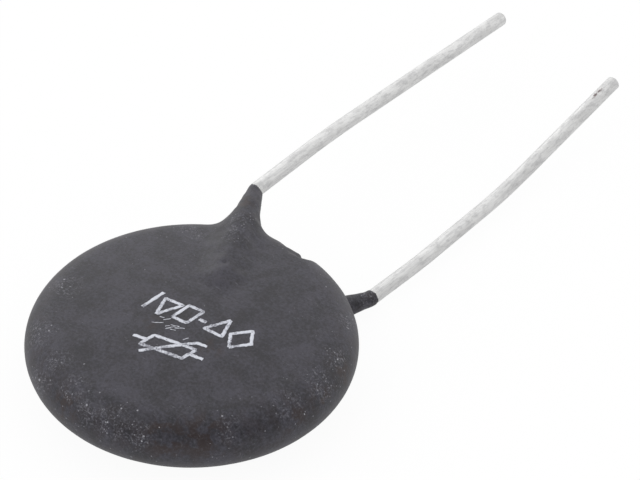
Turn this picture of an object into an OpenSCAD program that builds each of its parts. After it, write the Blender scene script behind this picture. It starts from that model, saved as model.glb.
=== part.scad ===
// Disc thermistor that limits inrush current: a sintered ceramic disc with a fired electrode on
// each face, a round wire lead soldered to each electrode, and one dip-coated resin skin that
// climbs onto both leads. It lies on its rear face, with the leads along +Y and the front face up.

/* [Ceramic disc] */
// Diameter of the ceramic disc
ceramic_d = 19.5; // [18:0.5:22]
// Thickness of the ceramic disc
ceramic_t = 3.2; // [2.6:0.1:3.6]
// Bevel on the two edges of the ceramic disc
ceramic_bevel = 0.4; // [0.2:0.05:0.5]

/* [Electrodes] */
// Bare ring of ceramic left round each electrode
electrode_margin = 0.6; // [0.4:0.1:1.2]
// Thickness of each fired electrode
electrode_t = 0.05; // [0.03:0.01:0.08]

/* [Leads] */
// Diameter of the lead wire
lead_d = 1.0; // [0.8:0.05:1.1]
// Distance between the two leads, centre to centre
lead_pitch = 10; // [9:0.25:11]
// Reach of the leads past the rim of the coating
lead_length = 30.5; // [26:0.5:38]
// Angle by which each lead splays outwards across its electrode
splay = 26; // [22:1:30]
// Distance of a lead's inner end from the disc's centre line, along the leads
lead_root = 4.1; // [3.5:0.1:5]
// Centre-line radius of the knee where a lead turns parallel to the other one
knee_radius = 1.2; // [1:0.1:2]
// Bevel left by the cutter on the end of each lead
lead_tip_bevel = 0.12; // [0.05:0.01:0.2]

/* [Lead set] */
// Straight run of the front lead before it leans towards the mid-plane
front_run = 5; // [2:0.5:8]
// Radius of the front lead's slow bend
front_bend_radius = 80; // [40:5:120]
// Angle of the front lead's slow bend
front_bend = 4; // [2:0.5:7]
// Straight run of the rear lead before it leans towards the mid-plane
rear_run = 12; // [8:0.5:15]
// Radius of the rear lead's slow bend
rear_bend_radius = 40; // [25:5:60]
// Angle of the rear lead's slow bend
rear_bend = 8; // [2:0.5:10]

/* [Solder joints] */
// Thickness of solder between an electrode and its lead
solder_film = 0.05; // [0.03:0.01:0.1]
// Length of a lead that its solder joint covers
solder_length = 4.5; // [3:0.5:5.5]
// Solder beyond the inner end of the lead
solder_overhang = 0.3; // [0.2:0.05:0.6]
// Height and half width of the solder mound
solder_rise = 1.15; // [1.12:0.01:1.25]

/* [Resin coating] */
// Resin round the rim of the ceramic disc
rim_cover = 1; // [0.7:0.05:1.2]
// Resin over the faces near the rim
shoulder_cover = 0.6; // [0.5:0.05:0.8]
// Resin over the electrodes at the disc's centre
face_cover = 1.15; // [1:0.05:1.4]
// Resin over the leads where they lie on the faces
ridge_cover = 0.4; // [0.3:0.05:0.5]
// Resin left on each lead at the tip of its horn
tip_cover = 0.08; // [0.05:0.01:0.15]
// Reach of the horns past the rim of the coating
horn_reach = 2.2; // [1.8:0.1:3.5]
// Length over which a horn thins towards its tip
horn_taper = 3.4; // [2.5:0.1:4.5]
// Size of the fillet where a horn meets the rim
horn_blend = 1.8; // [1.2:0.1:3]
// Size of the fillet where a ridge meets the face
ridge_blend = 1.1; // [0.8:0.1:1.6]
// Length over which a ridge dies away towards the disc's centre
ridge_fade = 3; // [2:0.25:4]

/* [Chip in the rim] */
// Depth of the chip
chip_depth = 0.3; // [0.1:0.02:0.36]
// Radius of the chip's groove
chip_radius = 0.9; // [0.6:0.1:1.2]
// Angle of the chip round the rim, from the leads' direction
chip_turn = 8.2; // [2:0.2:12]
// Height of the chip up the rim, as an angle above the mid-plane
chip_lift = 41; // [20:1:50]

/* [Hidden] */
$fn = 96;

RESIN = [0.30, 0.29, 0.31];
CERAMIC = [0.20, 0.19, 0.19];
SILVER = [0.80, 0.80, 0.78];
SOLDER = [0.62, 0.62, 0.61];
TINNED = [0.84, 0.84, 0.83];

lead_r = lead_d / 2;
electrode_z = ceramic_t / 2 + electrode_t;
lead_z = electrode_z + solder_film + lead_r;

// The coating without its horns and ridges is a lens: two shallow crowns that run into a round rim.
coat_r = ceramic_d / 2 + rim_cover;
rim_r = ceramic_t / 2 + shoulder_cover;
rim_centre = coat_r - rim_r;
crown_z = electrode_z + face_cover;
crown_r = (rim_centre ^ 2 + crown_z ^ 2 - rim_r ^ 2) / (2 * (crown_z - rim_r));
crown_edge = rim_centre * crown_r / (crown_r - rim_r);
CROWN_FN = 720;

// Each lead in plan: a straight splayed stretch, the knee, then straight along +Y.
horn_tip_y = coat_r + horn_reach;
knee_y = horn_tip_y - knee_radius * sin(splay);
knee_x = lead_pitch / 2 - knee_radius * (1 - cos(splay));
splayed_length = (knee_y - lead_root) / cos(splay);
knee_length = knee_radius * splay * PI / 180;
lead_tip_y = coat_r + lead_length;
BEND_THINNING = 0.002;
KNEE_OVERLAP = 0.04;
BEND_OVERLAP = 0.3;

// The skin that climbs a lead is swept through rings square to the lead's centre line.
RING_POINTS = 40;
RING_COUNT = 30;
SKIN_INSET = 0.03;
SKIN_REACH = 2.4;
SKIN_STEP = 0.12;
HALVINGS = 14;
CHIP_OVERRUN = 1.1;
skin_length = knee_length + splayed_length + ridge_fade;

function ease(t) = let (c = min(1, max(0, t))) c * c * (3 - 2 * c);
function mix(a, b, t) = a + (b - a) * t;

// Point of the front lead's centre line at a distance back from the horn's tip, and the lead's
// heading there, as an angle from +Y towards -X.
function lead_heading(s) = s < knee_length ? splay * s / knee_length : splay;
function lead_point(s) =
    s < knee_length
    ? let (a = lead_heading(s))
        [-lead_pitch / 2 + knee_radius * (1 - cos(a)), horn_tip_y - knee_radius * sin(a), lead_z]
    : let (back = s - knee_length)
        [-knee_x + back * sin(splay), knee_y - back * cos(splay), lead_z];

// Signed distance from a point to the lens, near enough for its blends.
function lens_distance(p) =
    let (rho = norm([p.x, p.y]), out = rho - rim_centre)
    rho > crown_edge
    ? norm([out, p.z]) - rim_r
    : norm([rho, abs(p.z) + crown_r - crown_z]) - crown_r;

// Radius of resin round the lead, and the fillet's size, at a distance back from the horn's tip.
function skin_radius(s) =
    let (
        thick = lead_r + mix(tip_cover, ridge_cover, ease(s / horn_taper)),
        fade = ease((s - knee_length - splayed_length) / ridge_fade)
    ) thick * (1 - fade) + SKIN_INSET * fade;
function skin_blend(s) = mix(horn_blend, ridge_blend, ease((s - horn_taper) / horn_taper));

function smooth_min(a, b, k) = let (h = max(k - abs(a - b), 0) / k) min(a, b) - h * h * k / 4;
function skin_value(p, r, s) =
    smooth_min(r - skin_radius(s), lens_distance(p) + SKIN_INSET, skin_blend(s));

// Walks out from the lead's centre line until the skin is crossed, then halves the last step.
function crossing(o, d, s, low, high, n) =
    n == 0 ? (low + high) / 2
    : let (m = (low + high) / 2)
        skin_value(o + d * m, m, s) > 0 ? crossing(o, d, s, low, m, n - 1) : crossing(o, d, s, m, high, n - 1);
function skin_reach_along(o, d, s, r = SKIN_STEP) =
    r >= SKIN_REACH ? SKIN_REACH
    : skin_value(o + d * r, r, s) > 0 ? crossing(o, d, s, r - SKIN_STEP, r, HALVINGS)
    : skin_reach_along(o, d, s, r + SKIN_STEP);

function skin_ring(s) =
    let (o = lead_point(s), a = lead_heading(s))
    [for (i = [0:RING_POINTS - 1])
        let (
            q = 360 * i / RING_POINTS,
            d = [cos(a) * cos(q), sin(a) * cos(q), sin(q)]
        ) o + d * skin_reach_along(o, d, s)];

skin_points = [for (k = [0:RING_COUNT - 1]) each skin_ring(skin_length * k / (RING_COUNT - 1))];
ridge_top = max([for (p = skin_points) p.z]);

// The whole part stands with the middle of its box's base at the origin.
frame_y = (coat_r - lead_tip_y) / 2;

module in_frame() {
    translate([0, frame_y, ridge_top]) children();
}

// Turns a piece of the front face's joint over to the rear face.
module on_rear_face() {
    rotate([0, 180, 0]) children();
}

// Moves to the start of the front lead and looks along its splayed stretch.
module at_lead_root() {
    translate(lead_point(knee_length + splayed_length)) rotate([0, 0, splay]) children();
}

module lens_profile() {
    intersection() {
        union() {
            translate([rim_centre, 0]) circle(r = rim_r);
            intersection() {
                translate([0, crown_z - crown_r]) circle(r = crown_r, $fn = CROWN_FN);
                translate([0, crown_r - crown_z]) circle(r = crown_r, $fn = CROWN_FN);
                translate([0, -crown_z]) square([crown_edge, 2 * crown_z]);
            }
        }
        translate([0, -crown_z]) square([2 * coat_r, 2 * crown_z]);
    }
}

// Horn and ridge of the front lead: resin drawn up the wire and thinning to its tip.
module lead_skin() {
    last = (RING_COUNT - 1) * RING_POINTS;
    polyhedron(
        points = skin_points,
        faces = concat(
            [[for (i = [0:RING_POINTS - 1]) i]],
            [for (k = [0:RING_COUNT - 2], i = [0:RING_POINTS - 1], half = [0, 1])
                let (
                    a = k * RING_POINTS + i,
                    b = k * RING_POINTS + (i + 1) % RING_POINTS,
                    c = a + RING_POINTS,
                    d = b + RING_POINTS
                ) half == 0 ? [a, c, b] : [b, c, d]],
            [[for (i = [RING_POINTS - 1:-1:0]) last + i]]
        )
    );
}

// Groove across the rim where a flake of resin has come off between the leads.
module rim_chip() {
    reach = rim_r + chip_radius - chip_depth;
    across = CHIP_OVERRUN * 2 * sqrt(2 * rim_r * chip_depth);
    rotate([0, 0, -chip_turn])
        translate([0, rim_centre + reach * cos(chip_lift), reach * sin(chip_lift)])
            rotate([chip_lift, 0, 0])
                cylinder(r = chip_radius, h = across, center = true);
}

module ceramic_body() {
    rotate_extrude()
        polygon([
            [0, -ceramic_t / 2],
            [ceramic_d / 2 - ceramic_bevel, -ceramic_t / 2],
            [ceramic_d / 2, -ceramic_t / 2 + ceramic_bevel],
            [ceramic_d / 2, ceramic_t / 2 - ceramic_bevel],
            [ceramic_d / 2 - ceramic_bevel, ceramic_t / 2],
            [0, ceramic_t / 2]
        ]);
}

module electrode_body() {
    translate([0, 0, ceramic_t / 2]) cylinder(r = ceramic_d / 2 - electrode_margin, h = electrode_t);
}

// One lead, drawn from its inner end: splayed stretch, knee, run, slow bend and cut end.
module lead_body(run, bend_radius, bend) {
    run_end_y = horn_tip_y + run;
    bend_end_y = run_end_y + bend_radius * sin(bend);
    bend_end_z = lead_z - bend_radius * (1 - cos(bend));
    end_length = (lead_tip_y - bend_end_y - (lead_r - lead_tip_bevel) * sin(bend)) / cos(bend);
    at_lead_root() rotate([-90, 0, 0]) cylinder(r = lead_r, h = splayed_length);
    translate([knee_radius - lead_pitch / 2, horn_tip_y, lead_z])
        rotate([0, 0, 180])
            wire_bend(knee_radius, splay, KNEE_OVERLAP);
    translate([-lead_pitch / 2, horn_tip_y, lead_z]) rotate([-90, 0, 0]) cylinder(r = lead_r, h = run);
    translate([-lead_pitch / 2, run_end_y, lead_z - bend_radius])
        rotate([90, 0, 90])
            rotate([0, 0, 90 - bend])
                wire_bend(bend_radius, bend, BEND_OVERLAP);
    translate([-lead_pitch / 2, bend_end_y, bend_end_z])
        rotate([-90 - bend, 0, 0])
            rotate_extrude()
                polygon([
                    [0, 0], [lead_r, 0], [lead_r, end_length - lead_tip_bevel],
                    [lead_r - lead_tip_bevel, end_length], [0, end_length]
                ]);
}

// A bend of the wire, a hair thinner than the straight stretches, whose ends reach into both.
module wire_bend(radius, angle, overlap) {
    extra = overlap / radius * 180 / PI;
    rotate([0, 0, -extra])
        rotate_extrude(angle = angle + 2 * extra)
            translate([radius, 0]) circle(r = lead_r - BEND_THINNING);
}

module front_lead_body() {
    lead_body(front_run, front_bend_radius, front_bend);
}

module rear_lead_body() {
    on_rear_face() lead_body(rear_run, rear_bend_radius, rear_bend);
}

// Half capsule of solder that buries the inner end of the front lead.
module solder_mound() {
    at_lead_root()
        intersection() {
            translate([0, 0, electrode_z - lead_z]) {
                rotate([-90, 0, 0]) cylinder(r = solder_rise, h = solder_length);
                sphere(r = solder_rise);
                translate([0, solder_length, 0]) sphere(r = solder_rise);
            }
            translate([-2 * solder_rise, solder_overhang - 2 * solder_rise, electrode_z - lead_z])
                cube([4 * solder_rise, solder_length + 4 * solder_rise, 2 * solder_rise]);
        }
}

module resin_coating() {
    color(RESIN)
        in_frame()
            difference() {
                union() {
                    rotate_extrude() lens_profile();
                    lead_skin();
                    on_rear_face() lead_skin();
                }
                rim_chip();
                union() {
                    ceramic_body();
                    electrode_body();
                    on_rear_face() electrode_body();
                    solder_mound();
                    on_rear_face() solder_mound();
                    front_lead_body();
                    rear_lead_body();
                }
            }
}

module ceramic_disc() {
    color(CERAMIC) in_frame() ceramic_body();
}

module front_electrode() {
    color(SILVER) in_frame() electrode_body();
}

module rear_electrode() {
    color(SILVER) in_frame() on_rear_face() electrode_body();
}

module front_solder() {
    color(SOLDER)
        in_frame()
            difference() {
                solder_mound();
                front_lead_body();
            }
}

module rear_solder() {
    color(SOLDER)
        in_frame()
            difference() {
                on_rear_face() solder_mound();
                rear_lead_body();
            }
}

module front_lead() {
    color(TINNED) in_frame() front_lead_body();
}

module rear_lead() {
    color(TINNED) in_frame() rear_lead_body();
}

resin_coating();
ceramic_disc();
front_electrode();
rear_electrode();
front_solder();
rear_solder();
front_lead();
rear_lead();
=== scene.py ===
"""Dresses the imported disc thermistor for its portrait.

The CAD frame gives the solids. This script lays a finer dip-coated skin over the disc, draws the
two tinned wires, prints a resistor symbol and a row of plain shapes on the front face, gives every
piece a procedural finish, and sets up a plain pale studio with the camera at the photograph's
viewing angle.

Sizes are in millimetres, about the middle of the disc: +Z out of the front face and +Y along the
leads. Blender's own units are metres, about the middle of the base of the part's box.
"""

import sys

import logging
import math
import random
from dataclasses import dataclass, field
from enum import Enum
from typing import Any

import bpy
from mathutils import Matrix, Vector

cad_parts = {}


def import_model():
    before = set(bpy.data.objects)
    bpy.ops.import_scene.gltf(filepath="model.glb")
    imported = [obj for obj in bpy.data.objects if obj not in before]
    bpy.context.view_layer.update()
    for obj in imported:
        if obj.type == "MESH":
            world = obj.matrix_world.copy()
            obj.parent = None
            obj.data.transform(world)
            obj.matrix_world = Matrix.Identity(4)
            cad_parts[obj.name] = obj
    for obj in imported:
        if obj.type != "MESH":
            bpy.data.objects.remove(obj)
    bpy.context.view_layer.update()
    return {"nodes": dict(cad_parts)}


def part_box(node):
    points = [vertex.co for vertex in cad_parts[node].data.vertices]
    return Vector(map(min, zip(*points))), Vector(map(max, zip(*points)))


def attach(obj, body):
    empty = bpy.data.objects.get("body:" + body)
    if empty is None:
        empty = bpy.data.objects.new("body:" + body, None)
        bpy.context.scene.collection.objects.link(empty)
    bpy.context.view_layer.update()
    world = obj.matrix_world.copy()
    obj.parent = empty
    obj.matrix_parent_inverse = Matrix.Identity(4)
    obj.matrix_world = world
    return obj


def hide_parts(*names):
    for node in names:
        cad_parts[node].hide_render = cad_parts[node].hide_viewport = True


LOG = logging.getLogger("thermistor")
BODY = "root"
MM = 0.001
PHOTO_WIDTH = 640

Socket = bpy.types.NodeSocket
Value = Any
Spot = tuple[float, float]
Point = tuple[float, float, float]
Colour = tuple[float, float, float]
Places = tuple[tuple[Point, float], ...]


class Side(Enum):
    """Face of the disc that a lead is soldered to, as the turn that takes the front face there."""

    FRONT = 0.0
    REAR = 180.0


class Graph:
    """A node tree of either kind, with short calls that add a node and wire it in."""

    def __init__(self, tree: bpy.types.NodeTree) -> None:
        """Wraps a tree.

        Args:
            tree: The shader or geometry tree to build in.
        """
        self.tree = tree

    def add(self, kind: str, inputs: dict[Any, Value] | None = None, **settings: Any) -> bpy.types.Node:
        """Adds a node.

        Args:
            kind: The node's type name.
            inputs: Values or output sockets by input name or index.
            **settings: Properties to set on the node before its inputs.

        Returns:
            The new node.
        """
        node = self.tree.nodes.new(kind)
        for name, value in settings.items():
            setattr(node, name, value)
        for key, value in (inputs or {}).items():
            self.feed(node.inputs[key], value)
        return node

    def first(self, kind: str, inputs: dict[Any, Value] | None = None, **settings: Any) -> Socket:
        """Adds a node as add() does and returns its first output."""
        return self.add(kind, inputs, **settings).outputs[0]

    def feed(self, socket: Socket, value: Value) -> None:
        """Links a socket to an output, or sets its value.

        Args:
            socket: The input to feed.
            value: An output socket or a constant.
        """
        if isinstance(value, Socket):
            self.tree.links.new(value, socket)
        elif socket.type == "RGBA" and len(value) == 3:
            socket.default_value = (*value, 1.0)
        else:
            socket.default_value = value

    def math(self, operation: str, *values: Value, clamp: bool = False) -> Socket:
        """Adds a Math node and returns its output."""
        values = dict(enumerate(values))
        return self.first("ShaderNodeMath", values, operation=operation, use_clamp=clamp)

    def times(self, a: Value, b: Value, clamp: bool = False) -> Socket:
        """Returns the product of two numbers."""
        return self.math("MULTIPLY", a, b, clamp=clamp)

    def plus(self, a: Value, b: Value, clamp: bool = False) -> Socket:
        """Returns the sum of two numbers."""
        return self.math("ADD", a, b, clamp=clamp)

    def minus(self, a: Value, b: Value) -> Socket:
        """Returns the difference of two numbers."""
        return self.math("SUBTRACT", a, b)

    def most(self, a: Value, b: Value, clamp: bool = False) -> Socket:
        """Returns the larger of two numbers."""
        return self.math("MAXIMUM", a, b, clamp=clamp)

    def scaled(self, vector: Value, factor: Value) -> Socket:
        """Returns a vector times a number."""
        return self.vector("SCALE", vector, factor)

    def vector(self, operation: str, *values: Value) -> Socket:
        """Adds a Vector Math node and returns the output that its operation uses."""
        node = self.add("ShaderNodeVectorMath", operation=operation)
        for socket, value in zip(node.inputs, values, strict=False):
            scaled = operation == "SCALE" and socket != node.inputs[0]
            self.feed(node.inputs["Scale"] if scaled else socket, value)
        return node.outputs["Value" if operation in ("LENGTH", "DISTANCE", "DOT_PRODUCT") else "Vector"]

    def split(self, vector: Socket) -> tuple[Socket, ...]:
        """Returns the three components of a vector."""
        return tuple(self.add("ShaderNodeSeparateXYZ", {0: vector}).outputs)

    def join(self, x: Value, y: Value, z: Value) -> Socket:
        """Returns the vector of three components."""
        return self.first("ShaderNodeCombineXYZ", {0: x, 1: y, 2: z})

    def blend(self, factor: Value, low: Value, high: Value) -> Socket:
        """Returns the number between low and high that a factor picks."""
        return self.first("ShaderNodeMix", {0: factor, 2: low, 3: high}, data_type="FLOAT")

    def tint(self, factor: Value, low: Value, high: Value) -> Socket:
        """Returns the colour between low and high that a factor picks."""
        node = self.add("ShaderNodeMix", {0: factor, 6: low, 7: high}, data_type="RGBA")
        return node.outputs[2]

    def ramp(
        self, value: Value, low: float, high: float, to_low: float = 0.0, to_high: float = 1.0
    ) -> Socket:
        """Maps a value smoothly from one range onto another and holds it at the ends.

        Args:
            value: The value to map.
            low: Where the smooth step starts.
            high: Where it ends.
            to_low: The result at and before the start.
            to_high: The result at and past the end.

        Returns:
            The mapped value.
        """
        ends = {"From Min": low, "From Max": high, "To Min": to_low, "To Max": to_high}
        kind = "ShaderNodeMapRange"
        return self.first(kind, {"Value": value} | ends, interpolation_type="SMOOTHSTEP")

    def noise(
        self, where: Value, scale: float, detail: float = 2.0, roughness: float = 0.5, warp: float = 0.0
    ) -> Socket:
        """Returns a noise pattern's value, about 0.5 in the middle.

        Args:
            where: Position to read it at.
            scale: Cells per unit of position.
            detail: Octaves.
            roughness: Weight of the finer octaves.
            warp: Distortion.

        Returns:
            The noise value.
        """
        pattern = {"Scale": scale, "Detail": detail, "Roughness": roughness, "Distortion": warp}
        return self.first("ShaderNodeTexNoise", {"Vector": where} | pattern)

    def waver(self, place: Value, scale: float, detail: float = 2.0) -> Socket:
        """Returns noise about 0 at a position in metres, with its scale per millimetre."""
        return self.minus(self.noise(self.scaled(place, 1.0 / MM), scale, detail), 0.5)

    def smooth_min(self, a: Value, b: Value, size: Value) -> Socket:
        """Joins two distances with a fillet of a given size and returns the joint distance."""
        gap = self.math("ABSOLUTE", self.minus(a, b))
        overlap = self.math("DIVIDE", self.most(self.minus(size, gap), 0.0), size)
        dip = self.times(self.times(overlap, overlap), self.times(size, 0.25))
        return self.minus(self.math("MINIMUM", a, b), dip)

    def surface(
        self,
        colour: Value,
        roughness: Value,
        height: Value,
        strength: float,
        depth: float,
        metal: float = 0.0,
    ) -> Socket:
        """Returns a Principled shader whose normal follows a height.

        Args:
            colour: Base colour.
            roughness: Roughness.
            height: Relief, about 0 to 1.
            strength: Strength of the relief.
            depth: Depth of the relief, in millimetres.
            metal: 1 for a metal.

        Returns:
            The shader.
        """
        relief = {"Strength": strength, "Distance": depth * MM, "Height": height}
        normal = self.first("ShaderNodeBump", relief)
        look = {"Base Color": colour, "Metallic": metal, "Roughness": roughness, "Normal": normal}
        return self.first("ShaderNodeBsdfPrincipled", look)


@dataclass(frozen=True)
class SurfaceSpots:
    """Small light specks scattered on a surface, such as dust or grit.

    Attributes:
        per_mm: Cells per millimetre.
        radius: Largest speck radius as a share of a cell.
        share: Share of the cells that hold a speck.
    """

    per_mm: float
    radius: float
    share: float

    def mask(self, graph: Graph, where: Value, thickness: Value = 1.0) -> Socket:
        """Marks the specks at a position.

        Args:
            graph: The tree to build in.
            where: The position, in millimetres.
            thickness: How much of the usual share of cells holds a speck there.

        Returns:
            Above 0 on a speck, up to 1 on the palest ones, and 0 off it.
        """
        cells = graph.add("ShaderNodeTexVoronoi", {"Vector": where, "Scale": self.per_mm})
        red, green, blue = graph.add("ShaderNodeSeparateColor", {0: cells.outputs["Color"]}).outputs
        held = graph.minus(graph.plus(red, graph.times(thickness, self.share)), 1.0)
        size = graph.times(graph.ramp(held, 0.0, 0.12), self.radius)
        edge = graph.times(graph.blend(green, 0.45, 1.0), size)
        wobble = graph.times(graph.minus(graph.noise(where, self.per_mm * 4.0), 0.5), self.radius)
        inside = graph.minus(edge, graph.plus(cells.outputs["Distance"], wobble))
        return graph.times(graph.ramp(inside, 0.0, self.radius * 0.3), graph.blend(blue, 0.35, 1.0))


class Finish:
    """A procedural material that is made once and then shared."""

    name = "finish"

    def material(self) -> bpy.types.Material:
        """Returns the finish's material, building it on the first call."""
        found = bpy.data.materials.get(self.name)
        if found is not None:
            return found
        material = bpy.data.materials.new(self.name)
        material.use_nodes = True
        material.node_tree.nodes.clear()
        graph = Graph(material.node_tree)
        surface = self.surface(graph)
        graph.add("ShaderNodeOutputMaterial", {"Surface": surface})
        return material

    def surface(self, graph: Graph) -> Socket:
        """Builds the shader and returns its output."""
        raise NotImplementedError

    @staticmethod
    def millimetres(graph: Graph) -> Socket:
        """Returns the position on the piece in millimetres."""
        place = graph.add("ShaderNodeTexCoord").outputs["Object"]
        return graph.scaled(place, 1.0 / MM)


@dataclass(frozen=True)
class ResinFinish(Finish):
    """Matte charcoal dip resin with mottling, dust, scuffs and fine pores.

    Attributes:
        dark: Colour of the deeper patches.
        light: Colour of the paler patches.
        warm: Brownish cast of the patches near the rim.
        dust: Colour of dust and scratches.
        grit: Colour of the fine pale grit in the dusty places.
        roughness: Mean roughness.
        middle: Middle of the disc in Blender's frame, in millimetres.
        rim_from: Distance from the middle at which the rim's rubbed band starts.
        stained_places: Middle and reach of each dark brownish stain, about the disc's middle.
        dusty_places: Middle and reach of each patch of grit, about the disc's middle.
    """

    dark: Colour = (0.0165, 0.0156, 0.0212)
    light: Colour = (0.0505, 0.0478, 0.0645)
    warm: Colour = (0.030, 0.0195, 0.0205)
    dust: Colour = (0.40, 0.40, 0.44)
    grit: Colour = (0.15, 0.148, 0.172)
    roughness: float = 0.45
    middle: Point = (0.0, 0.0, 0.0)
    rim_from: float = 8.6
    stained_places: Places = (
        ((-1.6, -10.4, 0.8), 1.5),
        ((5.4, -8.9, 1.3), 2.2),
        ((7.2, -7.6, 1.3), 2.2),
        ((10.2, -2.4, 1.1), 1.3),
        ((10.4, 0.0, 1.0), 1.2),
        ((10.1, 2.9, 1.0), 1.2),
        ((-1.2, -2.5, 2.7), 0.9),
        ((3.3, -2.0, 2.7), 1.1),
        ((-4.3, 10.4, 2.6), 1.1),
    )
    dusty_places: Places = (
        ((-1.4, -9.6, 1.9), 1.6),
        ((0.5, -10.2, 1.4), 1.8),
        ((2.0, -10.2, 1.2), 1.9),
        ((3.6, -9.9, 1.0), 1.6),
        ((-3.9, -8.6, 2.1), 1.4),
        ((-8.2, -3.0, 2.2), 1.7),
        ((-6.9, -7.2, 1.7), 2.0),
        ((-5.2, 6.4, 2.3), 1.2),
        ((-4.6, -9.6, 0.7), 1.5),
        ((-6.0, 6.6, 2.1), 1.3),
        ((-9.6, 3.2, 1.7), 1.3),
        ((9.7, -2.2, 1.7), 1.5),
        ((10.0, 0.6, 1.6), 1.6),
        ((9.4, 3.0, 1.7), 1.4),
        ((8.2, -6.1, 1.5), 1.3),
        ((7.7, 6.6, 1.5), 1.6),
        ((-3.1, 8.6, 2.9), 1.3),
        ((-2.5, 7.4, 2.9), 1.2),
        ((4.9, 12.7, -1.9), 1.5),
    )
    name = "resin_coating"

    def surface(self, graph: Graph) -> Socket:
        """Builds the resin's shader and returns its output."""
        place = graph.vector("SUBTRACT", self.millimetres(graph), self.middle)
        x, y, _ = graph.split(place)
        reach = graph.vector("LENGTH", graph.join(x, y, 0.0))
        rim = graph.ramp(reach, self.rim_from, self.rim_from + 1.6)

        broad = graph.noise(place, 0.45, 3.0, 0.6, 0.4)
        fine = graph.noise(place, 5.0, 4.0, 0.65)
        grain = graph.noise(place, 16.0, 2.0, 0.6)
        patch = graph.plus(graph.times(broad, 0.45), graph.times(fine, 0.55))
        colour = graph.tint(graph.ramp(patch, 0.38, 0.62), self.dark, self.light)
        stain = self.nearness(graph, place, self.stained_places, 0.2)
        cast = graph.plus(graph.plus(graph.times(rim, 0.2), 0.1), graph.times(stain, 0.9))
        brown = graph.times(graph.ramp(graph.noise(place, 1.3, 3.0, 0.6), 0.42, 0.62), cast, clamp=True)
        colour = graph.tint(brown, colour, self.warm)
        pores = graph.ramp(grain, 0.28, 0.40, 1.0, 0.0)
        colour = graph.tint(graph.times(pores, 0.5), colour, (0.008, 0.0075, 0.009))

        worn = self.worn_places(graph, place, reach)
        gritty = graph.ramp(graph.noise(place, 6.5, 3.0, 0.75), 0.47, 0.66)
        colour = graph.tint(graph.times(gritty, graph.times(worn, 0.8)), colour, self.grit)
        dusty = graph.most(self.specks(graph, place, worn), self.scratches(graph, place, worn))
        colour = graph.tint(dusty, colour, self.dust)

        rough = graph.blend(fine, self.roughness - 0.07, self.roughness + 0.07)
        rough = graph.plus(rough, graph.times(dusty, 0.2), clamp=True)
        height = graph.plus(graph.times(fine, 0.6), graph.times(grain, 0.3))
        height = graph.minus(height, graph.times(pores, 0.35))
        height = graph.plus(height, graph.times(dusty, 0.25))
        return graph.surface(colour, rough, height, 0.45, 0.03)

    def worn_places(self, graph: Graph, place: Value, reach: Value) -> Socket:
        """Returns how dusty a point is: a little everywhere, more along the rim, most in patches."""
        edge = graph.ramp(reach, 7.2, 9.6, 0.0, 0.16)
        patch = self.nearness(graph, place, self.dusty_places, 0.25)
        broken = graph.ramp(graph.noise(place, 1.1, 3.0, 0.6), 0.36, 0.58, 0.25, 1.0)
        worn = graph.times(graph.most(patch, edge), broken)
        return graph.plus(graph.times(worn, 0.9), 0.1, clamp=True)

    @staticmethod
    def nearness(graph: Graph, place: Value, places: Places, core: float) -> Value:
        """Returns 1 in the core of any of the places, falling to 0 at its reach."""
        near: Value = 0.0
        for middle, reach in places:
            away = graph.vector("DISTANCE", place, middle)
            near = graph.most(near, graph.ramp(away, core * reach, reach, 1.0, 0.0))
        return near

    @staticmethod
    def specks(graph: Graph, place: Value, worn: Value) -> Socket:
        """Returns the dust: grains of three sizes, thicker where the coating is worn."""
        sizes = ((0.8, 0.13, 0.55), (2.3, 0.22, 0.75), (4.6, 0.30, 0.9))
        large, middling, small = (SurfaceSpots(*size).mask(graph, place, worn) for size in sizes)
        return graph.most(large, graph.most(middling, graph.times(small, 0.6)), clamp=True)

    @staticmethod
    def scratches(graph: Graph, place: Value, worn: Value) -> Socket:
        """Returns fine short scratches in three directions."""
        found: Value = 0.0
        for turn, offset in ((0.35, 3.0), (1.25, 11.0), (2.35, 23.0)):
            lay = {"Location": (offset,) * 3, "Rotation": (0.0, 0.0, turn), "Scale": (0.9, 7.5, 1.6)}
            laid = graph.first("ShaderNodeMapping", {"Vector": place} | lay)
            line = graph.noise(laid, 1.0, 2.0, 0.5, 0.15)
            keen = graph.ramp(line, 0.69, 0.75)
            found = graph.most(found, keen)
        here = graph.ramp(graph.noise(place, 0.6, 2.0), 0.48, 0.62)
        return graph.times(graph.times(found, here), graph.plus(graph.times(worn, 0.5), 0.06))


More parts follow.
